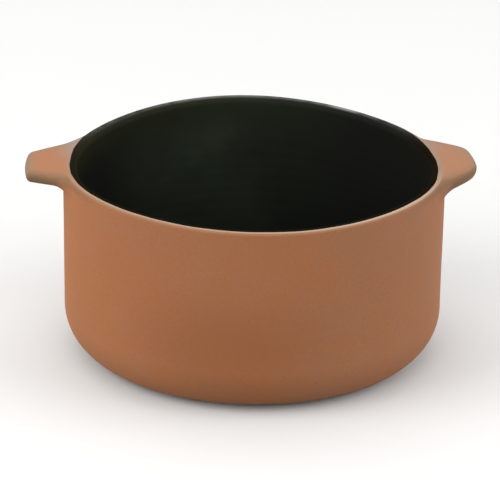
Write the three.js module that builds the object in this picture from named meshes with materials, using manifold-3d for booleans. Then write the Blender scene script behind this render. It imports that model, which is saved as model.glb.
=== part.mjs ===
// Round gratin dish: bare terracotta outside, black glaze inside, two flat lug handles at the rim.
// Units are millimetres and +Z is up. The dish stands on z = 0, and the handles lie along the X axis.
import * as THREE from "three";
import { mergeVertices } from "three/addons/utils/BufferGeometryUtils.js";
import Module from "manifold-3d";

const DEGREE = Math.PI / 180;

// Clay shell
const RIM_RADIUS = 100;              // outside of the wall, just under the lip
const HEIGHT = 103;                  // from the table to the lip, before the rim settles
const WALL = 6.5;                    // thickness of the wall
const WALL_DRAFT = 0.7 * DEGREE;     // how far the wall leans in toward its foot
const HEEL_RADIUS = 26;              // outside rounding between wall and foot
const INNER_HEEL_RADIUS = 20;        // inside rounding between wall and floor
const FLOOR = 8;                     // thickness of the floor over the foot ring
const FOOT_WIDTH = 9;                // flat ring that the dish stands on
const FOOT_RECESS = 1.5;             // hollow turned into the underside, inside the foot ring
const FOOT_SLOPE = 3;                // width of the slope from the foot ring up to the hollow

// Lip: flat on top, bare from its outer edge to where the inner edge begins to round
const LIP_OUTER_EDGE = 1.3;          // rounding of the outer edge
const LIP_INNER_EDGE = 2.6;          // rounding of the inner edge, which the glaze covers

// The rim once it has dried, no longer level
const RIM_SAG = 0.84;                // the handles draw it down at both sides, and it rises between them
const RIM_TWIST = 1;                 // uneven drying lifts it in three places
const TWIST_HIGH = 94 * DEGREE;      // the highest of the three, at the back

// Glaze
const GLAZE = 0.6;                   // thickness of the coat

// Handles: what both share
const HANDLE_TURN = 2.8 * DEGREE;    // each sits this far behind the middle line of the dish
const HANDLE_DROP = 0.15;            // top of the handle below the flat of the lip
const HANDLE_RISE = 2.1 * DEGREE;    // the handle lifts by this angle toward its tip
const FLARE_TOP = 0.1;               // how far the root spreads upward where the top runs into the lip
const FLARE_TOP_REACH = 1.5;         // how far out that begins
const SLIP = 0.8;                    // layer of slip between handle and wall
const SEAT_GAP = 0.05;               // clearance at each face of the slip, and behind the glaze

// Handles: what differs from one to the other, and from front flank to back flank
const LEFT_HANDLE = {
  overhang: 19.8,                    // from the outside of the rim to the tip
  thickness: 5.1,                    // at the tip
  wedge: 0.2 * DEGREE,               // how fast the handle thickens toward the wall
  underFlare: 7,                     // how far the root runs down the wall
  frontSide: 1,                      // where the front flank lies when the handle points along +X
  front: {
    tipHalfWidth: 16.7,              // half of the width that the flanks would have at the tip
    angle: 20.8 * DEGREE,            // how fast the flank spreads toward the wall
    cornerRadius: 3.4,               // rounding of the tip's corner, seen from above
    flare: 9,                        // how far the root spreads sideways along the wall
    flareReach: 6,                   // how far out that begins
  },
  back: { tipHalfWidth: 17.4, angle: 46.5 * DEGREE, cornerRadius: 6.5, flare: 18.5, flareReach: 12.8 },
};
const RIGHT_HANDLE = {
  overhang: 16.7,
  thickness: 5.2,
  wedge: 7.3 * DEGREE,
  underFlare: 5.7,
  frontSide: -1,
  front: { tipHalfWidth: 16.2, angle: 49.3 * DEGREE, cornerRadius: 27.5, flare: 8.9, flareReach: 5.7 },
  back: { tipHalfWidth: 17.2, angle: 50 * DEGREE, cornerRadius: 22.8, flare: 3, flareReach: 3 },
};

// Fineness of the facets
const TURN_STEPS = 72;
const HEEL_STEPS = 8;
const LIP_STEPS = 6;
const EDGE_STEPS = 6;
const RUN_STEPS = 8;
const FLARE_STEPS = 6;
const SPAN_STEPS = 3;
const TIP_STEPS = 7;

// Sizes that follow from the ones above
const OUTER_EDGE_R = RIM_RADIUS - LIP_OUTER_EDGE;
const OUTER_EDGE_Z = HEIGHT - LIP_OUTER_EDGE;
const PLUG = WALL * 0.6;             // how far a handle runs into the wall before it is trimmed
const TIP_EDGE = 0.12;               // half of the thickness left at the very tip
const INNER_RADIUS = RIM_RADIUS - WALL;
const INNER_EDGE_R = INNER_RADIUS + LIP_INNER_EDGE;
const INNER_EDGE_Z = HEIGHT - LIP_INNER_EDGE;

const wasm = await Module();
wasm.setup();

// Outside radius of the clay at a height, on the wall and round the lip's outer edge.
function wallRadius(z) {
  const above = z - OUTER_EDGE_Z;
  if (above <= 0) {
    return RIM_RADIUS + above * Math.tan(WALL_DRAFT);
  }
  return OUTER_EDGE_R + Math.sqrt(Math.max(LIP_OUTER_EDGE ** 2 - above ** 2, 0));
}

// Points along an arc of the profile, ends included. The radius may grow on the way.
function arc(centreR, centreZ, radius, from, to, steps, growth = 0) {
  const points = [];
  for (let i = 0; i <= steps; i += 1) {
    const angle = from + ((to - from) * i) / steps;
    const size = radius + (growth * i) / steps;
    points.push(new THREE.Vector2(centreR + size * Math.cos(angle), centreZ + size * Math.sin(angle)));
  }
  return points;
}

// Centre of the rounding that touches a leaning wall line and a level floor.
function heelCentre(radiusAtLip, floor, rounding) {
  const z = floor + rounding;
  const wall = radiusAtLip - (OUTER_EDGE_Z - z) * Math.tan(WALL_DRAFT);
  return new THREE.Vector2(wall - rounding / Math.cos(WALL_DRAFT), z);
}

// Outer surface, from the foot ring up to the flat of the lip.
function outerPoints() {
  const heel = heelCentre(RIM_RADIUS, 0, HEEL_RADIUS);
  return [
    ...arc(heel.x, heel.y, HEEL_RADIUS, -Math.PI / 2, -WALL_DRAFT, HEEL_STEPS),
    ...arc(OUTER_EDGE_R, OUTER_EDGE_Z, LIP_OUTER_EDGE, -WALL_DRAFT, Math.PI / 2, LIP_STEPS),
  ];
}

// Inner surface from the glaze line down to the middle of the floor: a gap off the clay, plus a coat that
// grows from nothing at the flat of the lip to its full thickness where the inner edge meets the wall.
function innerPoints(gap, coat) {
  const offset = gap + coat;
  const rounding = INNER_HEEL_RADIUS - offset;
  const heel = heelCentre(INNER_RADIUS - offset, FLOOR + offset, rounding);
  return [
    ...arc(INNER_EDGE_R, INNER_EDGE_Z, LIP_INNER_EDGE + gap, Math.PI / 2, Math.PI - WALL_DRAFT, LIP_STEPS, coat),
    ...arc(heel.x, heel.y, rounding, -WALL_DRAFT, -Math.PI / 2, HEEL_STEPS),
    new THREE.Vector2(0, FLOOR + offset),
  ];
}

// Underside: the turned hollow, its slope, and the inner edge of the foot ring.
function undersidePoints() {
  const foot = heelCentre(RIM_RADIUS, 0, HEEL_RADIUS).x - FOOT_WIDTH;
  return [
    new THREE.Vector2(0, FOOT_RECESS),
    new THREE.Vector2(foot - FOOT_SLOPE, FOOT_RECESS),
    new THREE.Vector2(foot, 0),
  ];
}

// Turns a profile of (radius, height) points about the upright axis.
function turned(points) {
  return new THREE.LatheGeometry(points, TURN_STEPS).rotateX(Math.PI / 2);
}

function bodyGeometry() {
  return turned([...undersidePoints(), ...outerPoints(), ...innerPoints(0, 0)]);
}

// The coat lies on the clay, and thins out to nothing at the line where it stops.
function glazeGeometry() {
  const back = innerPoints(SEAT_GAP, 0).reverse();
  const face = innerPoints(SEAT_GAP, GLAZE);
  return turned([...back, ...face.slice(1)]);
}

// Everything inside the outer surface of wall and lip, grown outward by a distance.
function wallGeometry(grow) {
  const low = HEEL_RADIUS;
  const lip = arc(OUTER_EDGE_R, OUTER_EDGE_Z, LIP_OUTER_EDGE + grow, -WALL_DRAFT, Math.PI / 2, LIP_STEPS);
  return turned([
    new THREE.Vector2(0, low),
    new THREE.Vector2(wallRadius(low) + grow, low),
    ...lip,
    new THREE.Vector2(0, HEIGHT + grow),
  ]);
}

// Half of the handle's width at a distance out from the rim: straight flank, then rounded corner.
function halfWidth(overhang, flank, out) {
  const { tipHalfWidth, angle, cornerRadius } = flank;
  const cornerOut = overhang - cornerRadius;
  const cornerY = tipHalfWidth + cornerRadius * (Math.tan(angle) - 1 / Math.cos(angle));
  if (out > cornerOut + cornerRadius * Math.sin(angle)) {
    return cornerY + Math.sqrt(Math.max(cornerRadius ** 2 - (out - cornerOut) ** 2, 0));
  }
  return tipHalfWidth + (overhang - out) * Math.tan(angle);
}

// Places round a handle's section: along the top, round one edge, along the underside, round the other.
function placesAround() {
  const places = [];
  for (let i = 0; i < RUN_STEPS; i += 1) {
    places.push({ edge: 1 - (2 * i) / RUN_STEPS, angle: Math.PI / 2 });
  }
  for (let i = 0; i < EDGE_STEPS; i += 1) {
    places.push({ edge: -1, angle: Math.PI / 2 + (Math.PI * i) / EDGE_STEPS });
  }
  const half = places.map(({ edge, angle }) => ({ edge: -edge, angle: angle + Math.PI }));
  return [...places, ...half];
}

// The flank that a place round the section belongs to.
function flankAt(handle, place) {
  return place.edge * handle.frontSide > 0 ? handle.front : handle.back;
}

// How far out the flare of the root reaches at one place round the section.
function flareReach(handle, place) {
  const sideways = Math.cos(place.angle) ** 2;
  const upright = Math.sin(place.angle) > 0 ? FLARE_TOP_REACH : handle.underFlare;
  return flankAt(handle, place).flareReach * sideways + upright * (1 - sideways);
}

// Distance from the wall at which the last of the root's flares has begun.
function rootLength(handle) {
  return Math.max(handle.front.flareReach, handle.back.flareReach, handle.underFlare);
}

// Point on a handle: out from the wall by a distance, with the root's flare at a share of its full size.
function handlePoint(handle, place, out, flare, sink) {
  const across = Math.cos(place.angle);
  const upward = Math.sin(place.angle);
  const flank = flankAt(handle, place);
  const left = handle.overhang - out;
  const thickness = handle.thickness + left * Math.tan(handle.wedge);
  const toTip = Math.max(1 - left / (thickness / 2), 0);
  const half = Math.max((thickness / 2) * Math.sqrt(1 - toTip ** 2), TIP_EDGE);
  const width = halfWidth(handle.overhang, flank, out);
  const middle = HEIGHT - HANDLE_DROP + out * Math.tan(HANDLE_RISE) - thickness / 2;
  const spread = upward > 0 ? FLARE_TOP : handle.underFlare;
  const y = (width - half) * place.edge + half * across + across * flank.flare * flare;
  const z = middle + half * upward + upward * spread * flare;
  const away = THREE.MathUtils.smoothstep(out, 0, rootLength(handle));
  const radius = THREE.MathUtils.lerp(wallRadius(z), RIM_RADIUS, away) + out - sink;
  return new THREE.Vector3(Math.sqrt(radius ** 2 - y ** 2), y, z);
}

// Closed surface through a row of rings, each with the same number of points, capped at both ends.
function loft(rings) {
  const count = rings[0].length;
  const positions = [];
  const index = [];
  for (const ring of rings) {
    for (const point of ring) {
      positions.push(point.x, point.y, point.z);
    }
  }
  for (let i = 0; i + 1 < rings.length; i += 1) {
    for (let j = 0; j < count; j += 1) {
      const a = i * count + j;
      const b = i * count + ((j + 1) % count);
      index.push(a, b, b + count, a, b + count, a + count);
    }
  }
  const last = (rings.length - 1) * count;
  for (const [ring, start, turn] of [[rings[0], 0, -1], [rings.at(-1), last, 1]]) {
    const centre = ring.reduce((sum, point) => sum.add(point), new THREE.Vector3()).divideScalar(count);
    const hub = positions.length / 3;
    positions.push(centre.x, centre.y, centre.z);
    for (let j = 0; j < count; j += 1) {
      const next = start + ((j + 1) % count);
      index.push(hub, ...(turn > 0 ? [start + j, next] : [next, start + j]));
    }
  }
  const geometry = new THREE.BufferGeometry();
  geometry.setAttribute("position", new THREE.Float32BufferAttribute(positions, 3));
  geometry.setIndex(index);
  return geometry;
}

// A handle before it is trimmed to the wall: plug, flared root, flat span and rounded tip.
function handleGeometry(handle, turn) {
  const places = placesAround();
  const rings = [places.map((place) => handlePoint(handle, place, 0, 1, PLUG))];
  for (let i = 0; i <= FLARE_STEPS; i += 1) {
    const swing = ((Math.PI / 2) * i) / FLARE_STEPS;
    rings.push(places.map((place) => {
      const out = flareReach(handle, place) * (1 - Math.cos(swing));
      return handlePoint(handle, place, out, 1 - Math.sin(swing), 0);
    }));
  }
  const start = rootLength(handle);
  for (let i = 1; i <= SPAN_STEPS; i += 1) {
    rings.push(places.map((place) => {
      const out = THREE.MathUtils.lerp(flareReach(handle, place), start, i / SPAN_STEPS);
      return handlePoint(handle, place, out, 0, 0);
    }));
  }
  for (let i = 1; i <= TIP_STEPS; i += 1) {
    const out = THREE.MathUtils.lerp(start, handle.overhang, Math.sin(((Math.PI / 2) * i) / TIP_STEPS));
    rings.push(places.map((place) => handlePoint(handle, place, out, 0, 0)));
  }
  return loft(rings).rotateZ(turn);
}

function toSolid(geometry) {
  const bare = geometry.clone();
  bare.deleteAttribute("normal");
  bare.deleteAttribute("uv");
  const merged = mergeVertices(bare, 1e-4);
  return new wasm.Manifold(new wasm.Mesh({
    numProp: 3,
    vertProperties: new Float32Array(merged.attributes.position.array),
    triVerts: new Uint32Array(merged.index.array),
  }));
}

function toGeometry(solid) {
  const mesh = solid.getMesh();
  const geometry = new THREE.BufferGeometry();
  geometry.setAttribute("position", new THREE.Float32BufferAttribute(mesh.vertProperties, 3));
  geometry.setIndex([...mesh.triVerts]);
  geometry.computeVertexNormals();
  return geometry;
}

// A handle and its slip: the rough handle is parted by the wall, grown by the thickness of the slip.
function handleAndSlip(handle, turn) {
  const rough = toSolid(handleGeometry(handle, turn));
  const seated = rough.subtract(toSolid(wallGeometry(SEAT_GAP + SLIP + SEAT_GAP)));
  const layer = rough.intersect(toSolid(wallGeometry(SEAT_GAP + SLIP)));
  const slip = layer.subtract(toSolid(wallGeometry(SEAT_GAP)));
  return [toGeometry(seated), toGeometry(slip)];
}

// Lets a piece follow the dried rim: nothing moves below the heel, and the lip moves most.
function settled(geometry) {
  const place = geometry.attributes.position;
  for (let i = 0; i < place.count; i += 1) {
    const angle = Math.atan2(place.getY(i), place.getX(i));
    const lift = RIM_TWIST * Math.cos(3 * (angle - TWIST_HIGH)) - RIM_SAG * Math.cos(2 * angle);
    const share = THREE.MathUtils.smoothstep(place.getZ(i), HEEL_RADIUS, HEIGHT);
    place.setZ(i, place.getZ(i) + lift * share);
  }
  return geometry;
}

function piece(name, geometry, colour, roughness) {
  const material = new THREE.MeshStandardMaterial({ color: colour, roughness });
  const mesh = new THREE.Mesh(settled(geometry), material);
  mesh.name = name;
  return mesh;
}

const TERRACOTTA = 0xa8704f;
const WET_LAID_CLAY = 0x9c6646;
const BLACK_GLAZE = 0x1a1b15;

const dish = new THREE.Group();
dish.name = "gratin_dish";
dish.add(piece("dish_body", bodyGeometry(), TERRACOTTA, 0.9));
dish.add(piece("glaze_lining", glazeGeometry(), BLACK_GLAZE, 0.35));

const [rightHandle, rightSlip] = handleAndSlip(RIGHT_HANDLE, HANDLE_TURN);
dish.add(piece("right_handle", rightHandle, TERRACOTTA, 0.9));
dish.add(piece("right_luting_slip", rightSlip, WET_LAID_CLAY, 0.9));

const [leftHandle, leftSlip] = handleAndSlip(LEFT_HANDLE, Math.PI - HANDLE_TURN);
dish.add(piece("left_handle", leftHandle, TERRACOTTA, 0.9));
dish.add(piece("left_luting_slip", leftSlip, WET_LAID_CLAY, 0.9));

export default dish;
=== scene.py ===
"""Looks of a deep round gratin dish: bare terracotta outside, black glaze inside, two lugs at the rim.

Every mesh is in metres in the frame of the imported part: the dish stands on z = 0, its handles lie along X.
Sizes in the classes are in millimetres, as on a potter's drawing, and those of the shapes are the same as in
the part's source.
"""

import logging
import math
from dataclasses import dataclass, field
from enum import Enum
from typing import Any

import bmesh
import bpy
from mathutils import Matrix, Quaternion, Vector


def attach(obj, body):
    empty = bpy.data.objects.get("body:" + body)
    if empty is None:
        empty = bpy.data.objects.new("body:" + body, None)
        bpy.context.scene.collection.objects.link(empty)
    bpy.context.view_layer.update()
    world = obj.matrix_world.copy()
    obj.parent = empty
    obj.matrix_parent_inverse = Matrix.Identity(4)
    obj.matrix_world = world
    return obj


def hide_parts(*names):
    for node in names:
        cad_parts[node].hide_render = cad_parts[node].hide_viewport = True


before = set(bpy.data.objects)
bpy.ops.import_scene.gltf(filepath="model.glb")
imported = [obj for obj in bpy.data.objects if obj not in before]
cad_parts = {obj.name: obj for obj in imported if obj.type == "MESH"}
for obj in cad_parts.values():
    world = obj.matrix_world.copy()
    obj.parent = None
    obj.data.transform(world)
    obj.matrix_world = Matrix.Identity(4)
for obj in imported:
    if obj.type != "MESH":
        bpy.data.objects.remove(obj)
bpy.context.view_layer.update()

MM = 0.001
LOG = logging.getLogger("gratin_dish")

Profile = list[tuple[float, float]]
Range = tuple[float, float]
Triple = tuple[float, float, float]
Colour = tuple[float, float, float, float]
Tree = bpy.types.NodeTree
Socket = bpy.types.NodeSocket
Sockets = bpy.types.bpy_prop_collection

# Sockets of a Mix node that mixes two colours, and those of a Map Range node that a pair of numbers fills.
MIX_SHARE, MIX_GROUND, MIX_ABOVE, MIX_RESULT = 0, 6, 7, 2
FROM = ("From Min", "From Max")
TO = ("To Min", "To Max")


class Side(Enum):
    """The two handles, as seen from the front."""

    LEFT = "left"
    RIGHT = "right"


def linear(colour: str) -> Colour:
    """Turns an sRGB hex colour into the linear colour that shaders take.

    Args:
        colour: six hex digits after a hash sign.

    Returns:
        Red, green, blue and a full alpha.
    """
    parts = [int(colour[i:i + 2], 16) / 255 for i in (1, 3, 5)]
    red, green, blue = (p / 12.92 if p <= 0.04045 else ((p + 0.055) / 1.055) ** 2.4 for p in parts)
    return red, green, blue, 1.0


def metres(pair: Range, start: float = 0.0) -> Range:
    """Turns two places into metres.

    Args:
        pair: the places in millimetres.
        start: where their scale starts, in millimetres.

    Returns:
        The places from zero.
    """
    return (start + pair[0]) * MM, (start + pair[1]) * MM


def fill(node: bpy.types.Node, inputs: dict) -> bpy.types.Node:
    """Sets or links the inputs of a node.

    Args:
        node: the node.
        inputs: socket name or index to a value, or to the output socket that feeds it; or a pair of names
            to a pair of those.

    Returns:
        The same node.
    """
    for key, value in inputs.items():
        if isinstance(key, tuple):
            fill(node, dict(zip(key, value)))
        elif isinstance(value, bpy.types.NodeSocket):
            node.id_data.links.new(value, node.inputs[key])
        else:
            node.inputs[key].default_value = value
    return node


def add_node(tree: Tree, kind: str, inputs: dict | None = None, **settings: Any) -> bpy.types.Node:
    """Adds a node, sets its properties, and fills or links its inputs.

    Args:
        tree: the tree that gets the node.
        kind: Blender's name for the type of node.
        inputs: what its sockets get, as for fill.
        **settings: properties of the node itself.

    Returns:
        The new node.
    """
    made = tree.nodes.new(kind)
    for name, value in settings.items():
        setattr(made, name, value)
    return fill(made, inputs or {})


def new_material(name: str) -> tuple[bpy.types.Material, bpy.types.Node]:
    """Makes a material with nodes.

    Args:
        name: what the real material is.

    Returns:
        The material and its main shader.
    """
    made = bpy.data.materials.new(name)
    made.use_nodes = True
    return made, made.node_tree.nodes["Principled BSDF"]


def smoothstep(value: float, low: float, high: float) -> float:
    """Returns 0 below low, 1 above high, and an eased value between them."""
    share = min(max((value - low) / (high - low), 0.0), 1.0)
    return share * share * (3 - 2 * share)


def arc(centre_r: float, centre_z: float, radius: float, start: float, end: float, steps: int) -> Profile:
    """Points along an arc of a turned profile, ends included.

    Args:
        centre_r: distance of the arc's centre from the axis.
        centre_z: height of the arc's centre.
        radius: radius of the arc.
        start: first angle in radians.
        end: last angle in radians.
        steps: number of parts.

    Returns:
        Points as (radius, height).
    """
    angles = [start + (end - start) * i / steps for i in range(steps + 1)]
    return [(centre_r + radius * math.cos(a), centre_z + radius * math.sin(a)) for a in angles]


def straight(first: tuple[float, float], last: tuple[float, float], steps: int) -> Profile:
    """Points strictly between two points of a profile.

    Args:
        first: one end, as (radius, height).
        last: the other end.
        steps: number of parts that the line is cut into.

    Returns:
        The points, without the two ends.
    """
    shares = [i / steps for i in range(1, steps)]
    return [(first[0] + (last[0] - first[0]) * s, first[1] + (last[1] - first[1]) * s) for s in shares]


@dataclass(frozen=True)
class DishSizes:
    """Driving sizes of the clay shell and its glaze, in millimetres and radians."""

    rim_radius: float = 100.0
    height: float = 103.0
    wall: float = 6.5
    draft: float = math.radians(0.7)
    heel: float = 26.0
    inner_heel: float = 20.0
    floor: float = 8.0
    foot_width: float = 9.0
    foot_recess: float = 1.5
    foot_slope: float = 3.0
    lip_outer_edge: float = 1.3
    lip_inner_edge: float = 2.6
    glaze: float = 0.6

    @property
    def outer_edge(self) -> tuple[float, float]:
        """Centre of the rounding at the lip's outer edge, as (radius, height)."""
        return self.rim_radius - self.lip_outer_edge, self.height - self.lip_outer_edge

    @property
    def inner_edge(self) -> tuple[float, float]:
        """Centre of the rounding at the lip's inner edge, as (radius, height)."""
        return self.rim_radius - self.wall + self.lip_inner_edge, self.height - self.lip_inner_edge

    def wall_radius(self, z: float) -> float:
        """Outside radius of the clay at a height, on the wall and round the lip's outer edge.

        Args:
            z: height in millimetres.

        Returns:
            Radius in millimetres.
        """
        above = z - self.outer_edge[1]
        if above <= 0:
            return self.rim_radius + above * math.tan(self.draft)
        return self.outer_edge[0] + math.sqrt(max(self.lip_outer_edge ** 2 - above ** 2, 0.0))

    def heel_centre(self, radius_at_lip: float, floor: float, rounding: float) -> tuple[float, float]:
        """Centre of the rounding that touches the leaning wall and a level floor.

        Args:
            radius_at_lip: radius of the wall's face just under the lip.
            floor: height of the floor's face.
            rounding: radius of the rounding.

        Returns:
            The centre as (radius, height).
        """
        z = floor + rounding
        wall = radius_at_lip - (self.outer_edge[1] - z) * math.tan(self.draft)
        return wall - rounding / math.cos(self.draft), z


@dataclass(frozen=True)
class Surface:
    """A tree of nodes and its sockets that tell where a point of the dish lies, in metres."""

    tree: Tree
    place: Socket
    x: Socket
    y: Socket
    z: Socket
    radius: Socket

    @classmethod
    def of(cls, tree: Tree, place: Socket) -> "Surface":
        """Adds the nodes that take a place apart and measure its distance from the upright axis.

        Args:
            tree: the tree that gets the nodes.
            place: position of the point.

        Returns:
            The tree with the sockets.
        """
        apart = add_node(tree, "ShaderNodeSeparateXYZ", {0: place}).outputs
        level = add_node(tree, "ShaderNodeCombineXYZ", {"X": apart["X"], "Y": apart["Y"]}).outputs[0]
        radius = add_node(tree, "ShaderNodeVectorMath", {0: level}, operation="LENGTH").outputs["Value"]
        return cls(tree, place, apart["X"], apart["Y"], apart["Z"], radius)

    def narrowed(self, share: Socket | float, *limits: tuple[Socket, float, Range]) -> Socket | float:
        """Narrows a share to the places inside some limits, each with a soft edge.

        Args:
            share: the share to start from.
            *limits: a coordinate, where its scale starts, and the two places on it, in millimetres, between
                which the share goes from nothing to all of it.

        Returns:
            The share that is left.
        """
        for coordinate, start, zone in limits:
            share = add_node(self.tree, "ShaderNodeMapRange", {
                "Value": coordinate, FROM: metres(zone, start), "To Max": share,
            }, interpolation_type="SMOOTHSTEP").outputs["Result"]
        return share

    def coat(
        self, ground: Socket | Colour, above: Socket | Colour, share: Socket | float,
        *limits: tuple[Socket, float, Range],
    ) -> Socket:
        """Lays a colour over what is there, on a share of the surface and within soft limits.

        Args:
            ground: colour that is there.
            above: colour that comes over it.
            share: how much of the ground it covers.
            *limits: where it is laid, as for a narrowed share.

        Returns:
            The colour after that.
        """
        return add_node(self.tree, "ShaderNodeMix", {
            MIX_SHARE: self.narrowed(share, *limits), MIX_GROUND: ground, MIX_ABOVE: above,
        }, data_type="RGBA").outputs[MIX_RESULT]


class NodeTrees:
    """Geometry Nodes trees that give the clay its form: turned on the wheel, then dried unevenly.

    Lengths among the constants are in millimetres. The glaze line changes over spans of X or Y.
    """

    DRYING = (
        "Sag", "Twist", "Twist High", "Still Below", "Rim Height", "Wobble", "Wobble Size", "Seed",
        "Material",
    )
    TURNING = (
        "Profile", "Turn Steps", "Hub Radius", "Lip Sink", "Line Front", "Line Left", "Line Right",
        "Line Back", "Line Wander",
    )
    KINDS = {
        "Geometry": "NodeSocketGeometry", "Profile": "NodeSocketObject", "Turn Steps": "NodeSocketInt",
        "Material": "NodeSocketMaterial",
    }
    SAG_FOLDS = 2.0
    TWIST_FOLDS = 3.0
    STILL_FOOT = 0.5
    MERGED_WITHIN = 0.004
    LINE_SIDES = (-90.0, 90.0)
    LINE_LEAVES_FRONT = (-45.0, -8.0)
    LINE_NEARS_BACK = (8.0, 70.0)
    LINE_WANDER_SIZE = 16.0
    LINE_EDGE = (-0.2, 0.3)
    _made: dict[str, Tree] = {}

    @classmethod
    def _start(cls, name: str, inputs: tuple[str, ...]) -> Tree:
        """Starts a tree with geometry in and out and named inputs.

        Args:
            name: name of the tree.
            inputs: names of the further inputs, which are numbers unless KINDS says otherwise.

        Returns:
            The tree, which is also kept for later calls.
        """
        tree = bpy.data.node_groups.new(name, "GeometryNodeTree")
        for label in ("Geometry", *inputs):
            kind = cls.KINDS.get(label, "NodeSocketFloat")
            tree.interface.new_socket(label, in_out="INPUT", socket_type=kind)
        tree.interface.new_socket("Geometry", in_out="OUTPUT", socket_type=cls.KINDS["Geometry"])
        cls._made[name] = tree
        return tree

    @classmethod
    def _lift(cls, tree: Tree, given: Sockets, apart: Sockets) -> Socket:
        """Adds a twofold sag under the handles and a threefold lift from uneven drying.

        Args:
            tree: the tree that gets the nodes.
            given: the tree's inputs.
            apart: X, Y and Z of the point.

        Returns:
            The upward offset, which fades out down the wall.
        """
        angle = add_node(tree, "ShaderNodeMath", {
            0: apart["Y"], 1: apart["X"],
        }, operation="ARCTAN2").outputs[0]
        turned = add_node(tree, "ShaderNodeMath", {
            0: angle, 1: given["Twist High"],
        }, operation="SUBTRACT").outputs[0]
        waves = {}
        for name, around, folds in (("Sag", angle, cls.SAG_FOLDS), ("Twist", turned, cls.TWIST_FOLDS)):
            wave = add_node(tree, "ShaderNodeMath", {0: around, 1: folds}, operation="MULTIPLY").outputs[0]
            wave = add_node(tree, "ShaderNodeMath", {0: wave}, operation="COSINE").outputs[0]
            waves[name] = add_node(tree, "ShaderNodeMath", {
                0: wave, 1: given[name],
            }, operation="MULTIPLY").outputs[0]
        lift = add_node(tree, "ShaderNodeMath", {
            0: waves["Twist"], 1: waves["Sag"],
        }, operation="SUBTRACT").outputs[0]
        share = add_node(tree, "ShaderNodeMapRange", {
            "Value": apart["Z"], "From Min": given["Still Below"], "From Max": given["Rim Height"],
        }, interpolation_type="SMOOTHSTEP").outputs["Result"]
        lift = add_node(tree, "ShaderNodeMath", {0: lift, 1: share}, operation="MULTIPLY").outputs[0]
        return add_node(tree, "ShaderNodeCombineXYZ", {"Z": lift}).outputs[0]

    @classmethod
    def _wobble(cls, tree: Tree, given: Sockets, place: Socket, height: Socket) -> Socket:
        """Adds the hand's unevenness, none of it at the foot.

        Args:
            tree: the tree that gets the nodes.
            given: the tree's inputs.
            place: position of the point.
            height: its height.

        Returns:
            The offset.
        """
        scale = add_node(tree, "ShaderNodeMath", {
            0: 1.0, 1: given["Wobble Size"],
        }, operation="DIVIDE").outputs[0]
        noise = add_node(tree, "ShaderNodeTexNoise", {
            "Vector": place, "W": given["Seed"], "Scale": scale, "Detail": 1.0, "Roughness": 0.35,
        }, noise_dimensions="4D").outputs["Color"]
        noise = add_node(tree, "ShaderNodeVectorMath", {
            0: noise, 1: (0.5, 0.5, 0.5),
        }, operation="SUBTRACT").outputs[0]
        free = add_node(tree, "ShaderNodeMapRange", {
            "Value": height, "From Min": cls.STILL_FOOT * MM, "From Max": given["Still Below"],
            "To Max": given["Wobble"],
        }, interpolation_type="SMOOTHSTEP").outputs["Result"]
        return add_node(tree, "ShaderNodeVectorMath", {0: noise, "Scale": free}, operation="SCALE").outputs[0]

    @classmethod
    def drying(cls) -> Tree:
        """Tree that lets the rim sag and twist as it dried, and moves every point by a soft noise."""
        if "clay_drying" in cls._made:
            return cls._made["clay_drying"]
        tree = cls._start("clay_drying", cls.DRYING)
        given = add_node(tree, "NodeGroupInput").outputs
        place = add_node(tree, "GeometryNodeInputPosition").outputs["Position"]
        apart = add_node(tree, "ShaderNodeSeparateXYZ", {0: place}).outputs
        offset = add_node(tree, "ShaderNodeVectorMath", {
            0: cls._lift(tree, given, apart), 1: cls._wobble(tree, given, place, apart["Z"]),
        }, operation="ADD").outputs[0]
        moved = add_node(tree, "GeometryNodeSetPosition", {
            "Geometry": given["Geometry"], "Offset": offset,
        }).outputs[0]
        smooth = add_node(tree, "GeometryNodeSetShadeSmooth", {"Geometry": moved}).outputs[0]
        real = add_node(tree, "GeometryNodeRealizeInstances", {"Geometry": smooth}).outputs[0]
        dressed = add_node(tree, "GeometryNodeSetMaterial", {"Geometry": real, "Material": given["Material"]})
        add_node(tree, "NodeGroupOutput", {"Geometry": dressed.outputs[0]})
        return tree

    @classmethod
    def _sink(cls, tree: Tree, given: Sockets) -> Socket:
        """Adds how far a coat sinks out of sight beyond the glaze line, which changes round the lip.

        Args:
            tree: the tree that gets the nodes.
            given: the tree's inputs.

        Returns:
            The downward offset.
        """
        surface = Surface.of(tree, add_node(tree, "GeometryNodeInputPosition").outputs["Position"])
        line = add_node(tree, "ShaderNodeMapRange", {
            "Value": surface.x, FROM: metres(cls.LINE_SIDES), TO: (given["Line Left"], given["Line Right"]),
        }).outputs["Result"]
        line = add_node(tree, "ShaderNodeMapRange", {
            "Value": surface.y, FROM: metres(cls.LINE_LEAVES_FRONT), TO: (given["Line Front"], line),
        }, interpolation_type="SMOOTHSTEP").outputs["Result"]
        line = add_node(tree, "ShaderNodeMapRange", {
            "Value": surface.y, FROM: metres(cls.LINE_NEARS_BACK), TO: (line, given["Line Back"]),
        }, interpolation_type="SMOOTHSTEP").outputs["Result"]
        wander = add_node(tree, "ShaderNodeTexNoise", {
            "Vector": surface.place, "Scale": 1 / (cls.LINE_WANDER_SIZE * MM), "Detail": 2.0,
        }).outputs["Fac"]
        wander = add_node(tree, "ShaderNodeMath", {0: wander, 1: 0.5}, operation="SUBTRACT").outputs[0]
        line = add_node(tree, "ShaderNodeMath", {
            0: wander, 1: given["Line Wander"], 2: line,
        }, operation="MULTIPLY_ADD").outputs[0]
        beyond = add_node(tree, "ShaderNodeMath", {
            0: surface.radius, 1: line,
        }, operation="SUBTRACT").outputs[0]
        sink = add_node(tree, "ShaderNodeMapRange", {
            "Value": beyond, FROM: metres(cls.LINE_EDGE), "To Max": given["Lip Sink"],
        }).outputs["Result"]
        down = add_node(tree, "ShaderNodeMath", {0: sink, 1: -1.0}, operation="MULTIPLY").outputs[0]
        return add_node(tree, "ShaderNodeCombineXYZ", {"Z": down}).outputs[0]

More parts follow.
